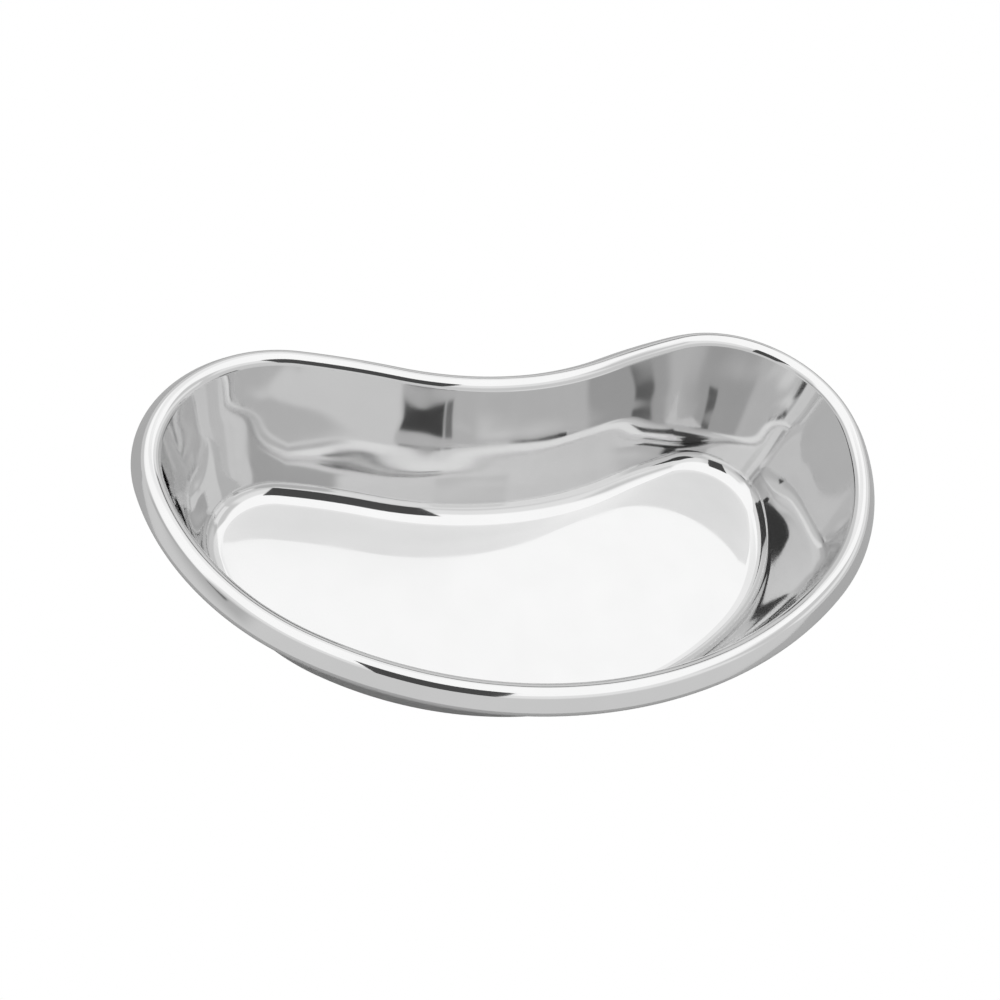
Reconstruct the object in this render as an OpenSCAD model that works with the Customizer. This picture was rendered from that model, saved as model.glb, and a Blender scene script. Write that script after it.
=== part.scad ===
// Kidney dish: a deep-drawn stainless steel bowl with a curled rim, and the
// stiffening wire that the rim is curled round.
// Frame: +Z up, X along the long axis, +Y towards the dent and -Y towards the
// bulging front. The origin is on the resting plane, at the middle of the length
// and of the breadth.
//
// The mouth outline is a closed chain of tangent arcs, the same on both sides of
// the plane x = 0: front, side, lobe, shoulder and, curved the other way, the
// dent. One section of the sheet is swept round it.

/* [Overall size] */
// Length over the rim
overall_length = 250; // [240:1:260]
// Height from the resting plane to the crest of the rim
overall_height = 51; // [46:1:56]
// Thickness of the sheet
sheet = 0.7; // [0.5:0.1:0.8]

/* [Mouth outline] */
// Radius of the long front arc
front_radius = 139; // [136:1:142]
// Half angle of the long front arc
front_angle = 36; // [35:0.5:37]
// Angle of the arc between the front and a lobe
side_angle = 45.5; // [44:0.5:47]
// Radius of a lobe
lobe_radius = 38; // [36:0.5:40]
// Angle of a lobe's arc
lobe_angle = 111; // [109:0.5:113]
// Radius of the shoulder between a lobe and the dent
shoulder_radius = 260; // [220:10:300]
// Half angle of the dent's arc
dent_angle = 19.5; // [19:0.5:20.5]

/* [Bowl] */
// Draft of the wall from the vertical
wall_draft = 17.5; // [14:0.5:19]
// Inner radius between the floor and the wall
floor_radius = 7.5; // [5:0.5:12]

/* [Rim] */
// Radius of the crest, on the polished face
crest_radius = 3.5; // [3:0.1:4]
// Slope of the skirt below the horizontal
skirt_slope = 50; // [45:1:60]
// Length of the flat of the skirt
skirt_length = 3.5; // [3:0.1:4]
// Outer radius of the curl round the wire
curl_radius = 1.75; // [1.7:0.05:2]
// Angle through which the sheet is curled round the wire
curl_angle = 240; // [200:5:250]

/* [Rim wire] */
// Clearance between the wire and the curl
wire_clearance = 0.05; // [0.05:0.01:0.1]

/* [Smoothness] */
// Largest turn of the outline from one station to the next, in degrees
station_turn = 7.5; // [6:0.5:10]
// Largest turn of the sheet's section from one point to the next, in degrees
section_turn = 30; // [24:2:45]

/* [Hidden] */
// Heading of the outline where each arc starts, going round from the front's middle
side_start = front_angle;
lobe_start = side_start + side_angle;
shoulder_start = lobe_start + lobe_angle;
dent_start = 180 + dent_angle;

// Section of the sheet: x is the distance outwards from the mouth outline
crest_centre = [crest_radius, overall_height - crest_radius];
skirt_normal = 90 - skirt_slope;
skirt_end = crest_centre + crest_radius * unit(skirt_normal) + skirt_length * unit(-skirt_slope);
curl_centre = skirt_end - curl_radius * unit(skirt_normal);
rim_width = curl_centre[0] + curl_radius;
wall_normal = 180 - wall_draft;
wall_top = crest_centre + crest_radius * unit(wall_normal);
floor_centre_z = sheet + floor_radius;
wall_foot_z = floor_centre_z - floor_radius * sin(wall_draft);
wall_foot_x = wall_top[0] - (wall_top[1] - wall_foot_z) * tan(wall_draft);
floor_edge = wall_foot_x - floor_radius * cos(wall_draft);
floor_centre = [floor_edge, floor_centre_z];
floor_lap = 6;
wire_radius = curl_radius - sheet - wire_clearance;

// The side's radius follows from the length, and the dent's from closing the chain
half_mouth = overall_length / 2 - rim_width;
front_run = front_radius * sin(side_start);
lobe_tip = lobe_radius * (1 - sin(lobe_start));
side_radius = (half_mouth - front_run - lobe_tip) / (sin(lobe_start) - sin(side_start));
lobe_run = lobe_radius * (sin(lobe_start) - sin(shoulder_start));
shoulder_run = shoulder_radius * (sin(shoulder_start) - sin(dent_start));
dent_radius = (half_mouth - lobe_tip - lobe_run - shoulder_run) / -sin(dent_start);

// Breadth of the mouth, from the front's middle to the top of a lobe
mouth_breadth = front_radius * (1 - cos(side_start))
    + side_radius * (cos(side_start) - cos(lobe_start))
    + lobe_radius * (cos(lobe_start) + 1);

// Centres of the arcs: the centres of two tangent arcs lie on the normal they share
front_centre = [0, front_radius - mouth_breadth / 2];
side_centre = front_centre + (front_radius - side_radius) * outward(side_start);
lobe_centre = side_centre + (side_radius - lobe_radius) * outward(lobe_start);
shoulder_centre = lobe_centre + (lobe_radius - shoulder_radius) * outward(shoulder_start);
dent_centre = [0, shoulder_centre[1] + (shoulder_radius + dent_radius) * outward(dent_start)[1]];

// Stations round the outline, each a point and the outward normal there
right_half = concat(
    stations(front_centre, front_radius, 0, side_start),
    stations(side_centre, side_radius, side_start, lobe_start),
    stations(lobe_centre, lobe_radius, lobe_start, shoulder_start),
    stations(shoulder_centre, shoulder_radius, shoulder_start, dent_start),
    stations(dent_centre, -dent_radius, dent_start, 180),
    [[dent_centre + [0, -dent_radius], [0, 1]]]);
left_half = [for (i = [len(right_half) - 2:-1:1]) [for (v = right_half[i]) [-v[0], v[1]]]];
outline = concat(right_half, left_half);

// Unit vector at an angle from +X
function unit(angle) = [cos(angle), sin(angle)];

// Outward normal of the outline at a heading
function outward(heading) = unit(heading - 90);

// Stations along one arc, without the last; a negative radius curves the other way
function stations(centre, radius, from, to) =
    let (steps = ceil(abs(to - from) / station_turn))
    [for (i = [0:steps - 1])
        let (normal = outward(from + (to - from) * i / steps))
        [centre + radius * normal, normal]];

// Points along an arc of the section
function arc(centre, radius, from, to) =
    let (steps = ceil(abs(to - from) / section_turn))
    [for (i = [0:steps]) centre + radius * unit(from + (to - from) * i / steps)];

// One face of the sheet, from the floor to the end of the curl, at a depth below
// the polished face
function sheet_face(depth) = concat(
    [[floor_edge - floor_lap, sheet - depth]],
    arc(floor_centre, floor_radius + depth, -90, -wall_draft),
    arc(crest_centre, crest_radius - depth, wall_normal, skirt_normal),
    arc(curl_centre, curl_radius - depth, skirt_normal, skirt_normal - curl_angle));

function reversed(list) = [for (i = [len(list) - 1:-1:0]) list[i]];

// Sweeps a closed section round the whole outline
module sweep(section) {
    m = len(section);
    n = len(outline);
    points = [for (s = outline) for (p = section) [s[0][0] + p[0] * s[1][0], s[0][1] + p[0] * s[1][1], p[1]]];
    faces = [for (i = [0:n - 1]) for (k = [0:m - 1])
        let (j = (i + 1) % n, l = (k + 1) % m)
        [i * m + k, j * m + k, j * m + l, i * m + l]];
    polyhedron(points, faces, convexity = 8);
}

module drawn_bowl() {
    plate_edge = floor_edge - floor_lap / 2;
    color("silver") {
        sweep(concat(sheet_face(0), reversed(sheet_face(sheet))));
        linear_extrude(sheet)
            polygon([for (s = outline) s[0] + plate_edge * s[1]]);
    }
}

module rim_wire() {
    color("dimgray")
        sweep(arc(curl_centre, wire_radius, 360 - section_turn, 0));
}

drawn_bowl();
rim_wire();
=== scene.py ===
from math import ceil, cos, radians, sin, tan

import bmesh
import bpy
from mathutils import Matrix, Vector


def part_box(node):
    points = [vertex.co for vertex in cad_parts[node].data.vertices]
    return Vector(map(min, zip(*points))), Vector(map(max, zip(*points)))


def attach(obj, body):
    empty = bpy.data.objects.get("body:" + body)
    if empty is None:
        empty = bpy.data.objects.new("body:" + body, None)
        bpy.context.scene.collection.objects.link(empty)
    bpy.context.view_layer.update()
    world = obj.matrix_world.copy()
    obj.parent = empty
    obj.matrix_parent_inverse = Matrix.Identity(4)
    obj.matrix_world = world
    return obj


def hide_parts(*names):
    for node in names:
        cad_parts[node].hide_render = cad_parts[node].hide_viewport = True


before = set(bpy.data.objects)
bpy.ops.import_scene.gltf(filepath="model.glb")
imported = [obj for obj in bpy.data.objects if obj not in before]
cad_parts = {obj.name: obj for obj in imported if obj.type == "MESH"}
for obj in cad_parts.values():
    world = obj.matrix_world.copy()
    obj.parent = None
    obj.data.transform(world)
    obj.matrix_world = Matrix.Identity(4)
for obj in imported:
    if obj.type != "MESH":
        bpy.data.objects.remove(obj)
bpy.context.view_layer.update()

# --- Driving dimensions of the dish, in metres and degrees ----------------------

LOW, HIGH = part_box("drawn_bowl")
LENGTH = HIGH.x - LOW.x
HEIGHT = HIGH.z
SHEET = 0.0007

# Mouth outline: a chain of tangent arcs from the middle of the front to the dent
FRONT_RADIUS = 0.139
FRONT_ANGLE = 36
SIDE_ANGLE = 45.5
LOBE_RADIUS = 0.038
LOBE_ANGLE = 111
SHOULDER_RADIUS = 0.260
SHOULDER_ANGLE = 7

# Section of the sheet
WALL_DRAFT = 17.5
FLOOR_RADIUS = 0.0075
CREST_RADIUS = 0.0035
SKIRT_SLOPE = 50
SKIRT_LENGTH = 0.0035
CURL_RADIUS = 0.00175
CURL_ANGLE = 240
WIRE_CLEARANCE = 0.00005

# Width of the floor's outer band, which is swept with the wall; the rest of the floor is one flat face
FLOOR_BAND = 0.003

# Largest turn from one point of a mesh to the next, in degrees, and the turn that makes an edge sharp
STATION_TURN = 1.0
SECTION_TURN = 5.0
SHARP_TURN = 40


# --- Geometry --------------------------------------------------------------------

def unit(angle):
    """Unit vector at an angle from the first axis."""
    return Vector((cos(radians(angle)), sin(radians(angle))))


def arc(centre, radius, start, end, largest_turn=SECTION_TURN):
    """Points along an arc, both ends included."""
    turn = end - start
    steps = ceil(abs(turn) / largest_turn)
    return [centre + radius * unit(start + turn * i / steps) for i in range(steps + 1)]


# The section is drawn in (distance outwards from the mouth outline, height)
SKIRT_NORMAL = 90 - SKIRT_SLOPE
WALL_NORMAL = 180 - WALL_DRAFT
CREST_CENTRE = Vector((CREST_RADIUS, HEIGHT - CREST_RADIUS))
SKIRT_END = CREST_CENTRE + CREST_RADIUS * unit(SKIRT_NORMAL) + SKIRT_LENGTH * unit(-SKIRT_SLOPE)
CURL_CENTRE = SKIRT_END - CURL_RADIUS * unit(SKIRT_NORMAL)
RIM_WIDTH = CURL_CENTRE.x + CURL_RADIUS
WALL_TOP = CREST_CENTRE + CREST_RADIUS * unit(WALL_NORMAL)
FLOOR_CENTRE_Z = SHEET + FLOOR_RADIUS
WALL_FOOT_Z = FLOOR_CENTRE_Z - FLOOR_RADIUS * sin(radians(WALL_DRAFT))
WALL_FOOT_X = WALL_TOP.x - (WALL_TOP.y - WALL_FOOT_Z) * tan(radians(WALL_DRAFT))
FLOOR_EDGE = WALL_FOOT_X - FLOOR_RADIUS * cos(radians(WALL_DRAFT))
FLOOR_CENTRE = Vector((FLOOR_EDGE, FLOOR_CENTRE_Z))


def mouth_stations():
    """Stations round the mouth: a point and the outward normal there. The side's radius follows from the
    length, and the dent's from closing the chain."""
    lobe_start = FRONT_ANGLE + SIDE_ANGLE
    shoulder_start = lobe_start + LOBE_ANGLE
    dent_start = shoulder_start + SHOULDER_ANGLE
    front_sine = sin(radians(FRONT_ANGLE))
    lobe_sine = sin(radians(lobe_start))
    shoulder_sine = sin(radians(shoulder_start))
    dent_sine = sin(radians(dent_start))
    half_mouth = LENGTH / 2 - RIM_WIDTH
    side_run = half_mouth - FRONT_RADIUS * front_sine - LOBE_RADIUS * (1 - lobe_sine)
    side_radius = side_run / (lobe_sine - front_sine)
    shoulder_run = SHOULDER_RADIUS * (shoulder_sine - dent_sine)
    dent_run = half_mouth - LOBE_RADIUS * (1 - shoulder_sine) - shoulder_run
    dent_radius = dent_run / -dent_sine
    chain = (
        (FRONT_RADIUS, FRONT_ANGLE),
        (side_radius, SIDE_ANGLE),
        (LOBE_RADIUS, LOBE_ANGLE),
        (SHOULDER_RADIUS, SHOULDER_ANGLE),
        (-dent_radius, 180 - dent_start),
    )
    point = Vector((0, LOW.y + RIM_WIDTH))
    normal_angle = -90
    right = []
    for radius, angle in chain:
        centre = point - radius * unit(normal_angle)
        points = arc(centre, radius, normal_angle, normal_angle + angle, STATION_TURN)
        right += [(p, (p - centre) / radius) for p in points[:-1]]
        normal_angle += angle
        point = points[-1]
    right.append((point, unit(normal_angle)))
    left = [(Vector((-p.x, p.y)), Vector((-n.x, n.y))) for p, n in reversed(right[1:-1])]
    return right + left


STATIONS = mouth_stations()


def sheet_face(depth):
    """One face of the sheet, at a depth below the polished face, from the floor to the end of the curl."""
    return (
        [Vector((FLOOR_EDGE - FLOOR_BAND, SHEET - depth))]
        + arc(FLOOR_CENTRE, FLOOR_RADIUS + depth, -90, -WALL_DRAFT)
        + arc(CREST_CENTRE, CREST_RADIUS - depth, WALL_NORMAL, SKIRT_NORMAL)
        + arc(CURL_CENTRE, CURL_RADIUS - depth, SKIRT_NORMAL, SKIRT_NORMAL - CURL_ANGLE)[1:]
    )


def swept_piece(name, section, closed):
    """A piece made by sweeping the section round the mouth. An open section's two ends are the edges of
    the floor, and each gets one flat face across it."""
    bm = bmesh.new()
    rings = [[bm.verts.new((*(p + s.x * n), s.y)) for p, n in STATIONS] for s in section]
    pairs = list(zip(rings, rings[1:]))
    if closed:
        pairs.append((rings[-1], rings[0]))
    for a, b in pairs:
        for i in range(len(a)):
            bm.faces.new((a[i - 1], a[i], b[i], b[i - 1]))
    if not closed:
        bm.faces.new(rings[0])
        bm.faces.new(rings[-1])
    bmesh.ops.recalc_face_normals(bm, faces=bm.faces)
    for face in bm.faces:
        face.smooth = True
    for edge in bm.edges:
        if edge.calc_face_angle(0) > radians(SHARP_TURN):
            edge.smooth = False
    mesh = bpy.data.meshes.new(name)
    bm.to_mesh(mesh)
    bm.free()
    piece = bpy.data.objects.new(name, mesh)
    bpy.context.scene.collection.objects.link(piece)
    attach(piece, "root")
    return piece


bowl = swept_piece("polished_bowl", sheet_face(0) + sheet_face(SHEET)[::-1], closed=False)
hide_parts("drawn_bowl")

WIRE_RADIUS = CURL_RADIUS - SHEET - WIRE_CLEARANCE
wire = swept_piece("curled_in_wire", arc(CURL_CENTRE, WIRE_RADIUS, 0, 360)[:-1], closed=True)
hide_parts("rim_wire")

# --- Camera ------------------------------------------------------------------------

# The photograph's viewpoint, round a target in the plane of the rim; the lens is in millimetres and the
# shift is a share of the frame
CAMERA_AZIMUTH = -29.5
CAMERA_ELEVATION = 46.7
CAMERA_ROLL = 18.85
CAMERA_DISTANCE = 0.433
CAMERA_LENS = 47.6
CAMERA_SHIFT = (-0.0264, -0.0801)
CAMERA_CLIP = 0.01
CAMERA_TARGET = Vector((0, 0.0323, HEIGHT))

back = Vector((
    sin(radians(CAMERA_AZIMUTH)) * cos(radians(CAMERA_ELEVATION)),
    -cos(radians(CAMERA_AZIMUTH)) * cos(radians(CAMERA_ELEVATION)),
    sin(radians(CAMERA_ELEVATION))))
level_right = Vector((0, 0, 1)).cross(back).normalized()
level_up = back.cross(level_right)
right = cos(radians(CAMERA_ROLL)) * level_right + sin(radians(CAMERA_ROLL)) * level_up
up = back.cross(right)
camera = bpy.data.objects.new("camera", bpy.data.cameras.new("camera"))
camera.matrix_world = Matrix.Translation(CAMERA_TARGET + CAMERA_DISTANCE * back) @ Matrix(
    (right, up, back)).transposed().to_4x4()
camera.data.lens = CAMERA_LENS
camera.data.shift_x, camera.data.shift_y = CAMERA_SHIFT
camera.data.clip_start = CAMERA_CLIP
bpy.context.scene.collection.objects.link(camera)
bpy.context.scene.camera = camera

# --- Node helpers ------------------------------------------------------------------

class Nodes:
    """Short forms for building a node tree."""

    def __init__(self, tree):
        self.tree = tree
        tree.nodes.clear()

    def add(self, kind, inputs=(), **settings):
        node = self.tree.nodes.new("ShaderNode" + kind)
        for key, value in settings.items():
            setattr(node, key, value)
        for key, value in dict(inputs).items():
            if isinstance(value, bpy.types.NodeSocket):
                self.tree.links.new(value, node.inputs[key])
            else:
                node.inputs[key].default_value = value
        return node

    def math(self, operation, *values):
        return self.add("Math", enumerate(values), operation=operation).outputs[0]

    def step(self, value, low, high):
        """0 at low, 1 at high, smooth between; low may be the larger."""
        node = self.add("MapRange", {"Value": value, "From Min": low, "From Max": high},
                        interpolation_type="SMOOTHSTEP")
        return node.outputs["Result"]

    def blend(self, factor, a, b):
        """a where factor is 0, b where it is 1."""
        return self.add("Mix", {"Factor": factor, 2: a, 3: b}, data_type="FLOAT").outputs[0]

    def noise(self, vector, scale, detail):
        return self.add("TexNoise", {"Vector": vector, "Scale": scale, "Detail": detail}).outputs["Fac"]

    def bump(self, height, distance, **inputs):
        """The normal of a surface whose height varies by as much as distance."""
        return self.add("Bump", {"Height": height, "Distance": distance, **inputs}).outputs[0]

    def grey(self, level):
        return self.add("CombineColor", {0: level, 1: level, 2: level}).outputs[0]


# --- Materials -----------------------------------------------------------------------

# Scales of the textures, over coordinates in metres
SWELL_SCALE = 22
SMUDGE_SCALE = 55
POLISH_SCALE = 900
RING_SCALE = 14
RING_DISTORTION = 5
POLISH_STRETCH = (1, 1, 6)

# Heights above the resting plane between which the drawn sheet's unevenness sets in. The floor has only
# its polishing lines.
FLAT_BELOW = 0.001
UNEVEN_ABOVE = 0.012

# Smudges: the noise at which one begins and is full, the least share of it that the polishing lines
# leave, and the shares of the reflectance between which the steel's shade varies
SMUDGE_EDGE = (0.35, 0.75)
SMUDGE_LEAST = 0.6
SHADE_SPREAD = (0.96, 1.03)


def steel(name, reflectance, smooth, rough, waviness, ripple, grain):
    """Bare steel, its roughness from smooth to rough. The last three are the heights, in metres, of its
    unevenness: that of the sheet, the marks of the drawing die round the wall, and the polishing lines."""
    mat = bpy.data.materials.new(name)
    mat.use_nodes = True
    n = Nodes(mat.node_tree)
    place = n.add("TexCoord").outputs["Object"]
    height = n.add("SeparateXYZ", {0: place}).outputs["Z"]
    above_floor = n.step(height, FLAT_BELOW, UNEVEN_ABOVE)
    swell = n.noise(place, SWELL_SCALE, detail=1)
    smudges = n.noise(place, SMUDGE_SCALE, detail=4)
    stretched = n.add("VectorMath", {0: place, 1: POLISH_STRETCH}, operation="MULTIPLY").outputs[0]
    polish = n.noise(stretched, POLISH_SCALE, detail=3)
    rings = n.add("TexWave", {
        "Vector": place,
        "Scale": RING_SCALE,
        "Distortion": RING_DISTORTION,
        "Detail": 1}, wave_type="BANDS", bands_direction="Z").outputs["Fac"]
    normal = n.bump(swell, waviness, Strength=above_floor)
    normal = n.bump(rings, ripple, Strength=above_floor, Normal=normal)
    normal = n.bump(polish, grain, Normal=normal)
    smudged = n.step(smudges, *SMUDGE_EDGE)
    wear = n.math("MULTIPLY", smudged, n.blend(polish, SMUDGE_LEAST, 1))
    shade = n.blend(smudges, *(reflectance * share for share in SHADE_SPREAD))
    bsdf = n.add("BsdfPrincipled", {
        "Base Color": n.grey(shade),
        "Metallic": 1,
        "Roughness": n.blend(wear, smooth, rough),
        "Normal": normal})
    n.add("OutputMaterial", {"Surface": bsdf.outputs[0]})
    return mat


bowl.data.materials.append(steel(
    "polished_steel", reflectance=0.74, smooth=0.045, rough=0.10,
    waviness=0.0007, ripple=0.00012, grain=0.0000005))
wire.data.materials.append(steel(
    "wire_steel", reflectance=0.55, smooth=0.30, rough=0.45,
    waviness=0.00002, ripple=0.00002, grain=0.000004))

# --- Studio --------------------------------------------------------------------------

# Brightness of what the steel mirrors, where the background that the camera sees is 1
PAPER_WHITE = 1
CEILING_LEVEL = 1.26
ROOM_LEVEL = 0.76
TABLE_LEVEL = 0.62
OPERATOR_LEVEL = 0.08

# Elevations, in degrees, over which the table turns into the room and the room into the ceiling
TABLE_EDGE = (-6, 3)
CEILING_EDGE = (49, 57)

# Parts of the room: middle azimuth, half width, lowest and highest elevation and soft edge, in degrees,
# then brightness. Azimuth 0 is -Y, in front of the dish's bulging side, and 90 is +X.
ROOM_PARTS = {
    "left_window": (-135, 45, 32, 60, 8, 1.22),
    "back_window": (-165, 80, 41, 62, 7, 1.26),
    "front_wall": (28, 30, 38, 60, 14, 1.00),
    "front_left_wall": (-50, 32, 42, 60, 14, 0.96),
    "left_wall": (-90, 22, 14, 20, 9, 0.56),
    "right_wall": (105, 32, 21, 34, 3, 1.00),
    "back_softbox": (170, 16, 31, 60, 3, 1.10),
    "stand": (148.5, 8.5, 24.9, 30, 0.6, 0.08),
    "stand_post": (160, 1.5, 24.9, 30, 0.6, 0.25),
    "chair": (-78, 4, 15.3, 16.6, 2, 0.18),
}


def room_part(n, azimuth, elevation, middle, half_width, low, high, edge):
    """1 inside a part of the room, 0 outside it."""
    aside = n.math("ABSOLUTE", n.math("WRAP", n.math("SUBTRACT", azimuth, middle), 180, -180))
    across = n.step(aside, half_width + edge, half_width)
    above = n.step(elevation, low - edge, low)
    below = n.step(elevation, high + edge, high)
    return n.math("MULTIPLY", across, n.math("MULTIPLY", above, below))


def studio_world():
    """The room that the steel mirrors, which the camera sees as plain white."""
    world = bpy.data.worlds.new("studio")
    bpy.context.scene.world = world
    world.use_nodes = True
    n = Nodes(world.node_tree)
    x, y, z = n.add("SeparateXYZ", {0: n.add("TexCoord").outputs["Generated"]}).outputs
    azimuth = n.math("DEGREES", n.math("ARCTAN2", x, n.math("MULTIPLY", y, -1)))
    elevation = n.math("DEGREES", n.math("ARCSINE", z))
    level = n.blend(n.step(elevation, *TABLE_EDGE), TABLE_LEVEL, ROOM_LEVEL)
    for *extent, part_level in ROOM_PARTS.values():
        level = n.blend(room_part(n, azimuth, elevation, *extent), level, part_level)
    level = n.blend(n.step(elevation, *CEILING_EDGE), level, CEILING_LEVEL)
    level = n.blend(n.add("LightPath").outputs["Is Camera Ray"], level, PAPER_WHITE)
    background = n.add("Background", {"Color": n.grey(level)})
    n.add("OutputWorld", {"Surface": background.outputs[0]})


studio_world()
bpy.context.scene.view_settings.view_transform = "Standard"


def stage_sheet(name, width, depth):
    """A flat rectangle of the stage, lying at the origin and facing up, and the nodes of its material."""
    bm = bmesh.new()
    size = Matrix.Diagonal((width, depth, 1, 1))
    bmesh.ops.create_grid(bm, x_segments=1, y_segments=1, size=0.5, matrix=size)
    mesh = bpy.data.meshes.new(name)
    bm.to_mesh(mesh)
    bm.free()
    sheet = bpy.data.objects.new(name, mesh)
    bpy.context.scene.collection.objects.link(sheet)
    mat = bpy.data.materials.new(name)
    mat.use_nodes = True
    mesh.materials.append(mat)
    return sheet, Nodes(mat.node_tree)


OPERATOR_PLACE = Vector((-0.095, -0.255, 0.34))
OPERATOR_WIDTH = 0.19
OPERATOR_HEIGHT = 0.32


def stage_operator():
    """The dark shape of the photographer, facing the dish and seen only in the steel."""
    operator, n = stage_sheet("operator", OPERATOR_WIDTH, OPERATOR_HEIGHT)
    facing = (-OPERATOR_PLACE).to_track_quat("Z", "Y").to_matrix().to_4x4()
    operator.matrix_world = Matrix.Translation(OPERATOR_PLACE) @ facing
    operator.visible_camera = False
    operator.visible_shadow = False
    glow = n.add("Emission", {"Color": n.grey(OPERATOR_LEVEL)})
    n.add("OutputMaterial", {"Surface": glow.outputs[0]})


stage_operator()

FLOOR_SIDE = 40
FLOOR_GREY = 0.50


def stage_floor():
    """A pale floor, which the camera sees as plain white."""
    n = stage_sheet("floor", FLOOR_SIDE, FLOOR_SIDE)[1]
    paper = n.add("BsdfDiffuse", {"Color": n.grey(FLOOR_GREY)})
    white = n.add("Emission", {"Color": n.grey(PAPER_WHITE)})
    seen = n.add("LightPath").outputs["Is Camera Ray"]
    shown = n.add("MixShader", {0: seen, 1: paper.outputs[0], 2: white.outputs[0]})
    n.add("OutputMaterial", {"Surface": shown.outputs[0]})


stage_floor()
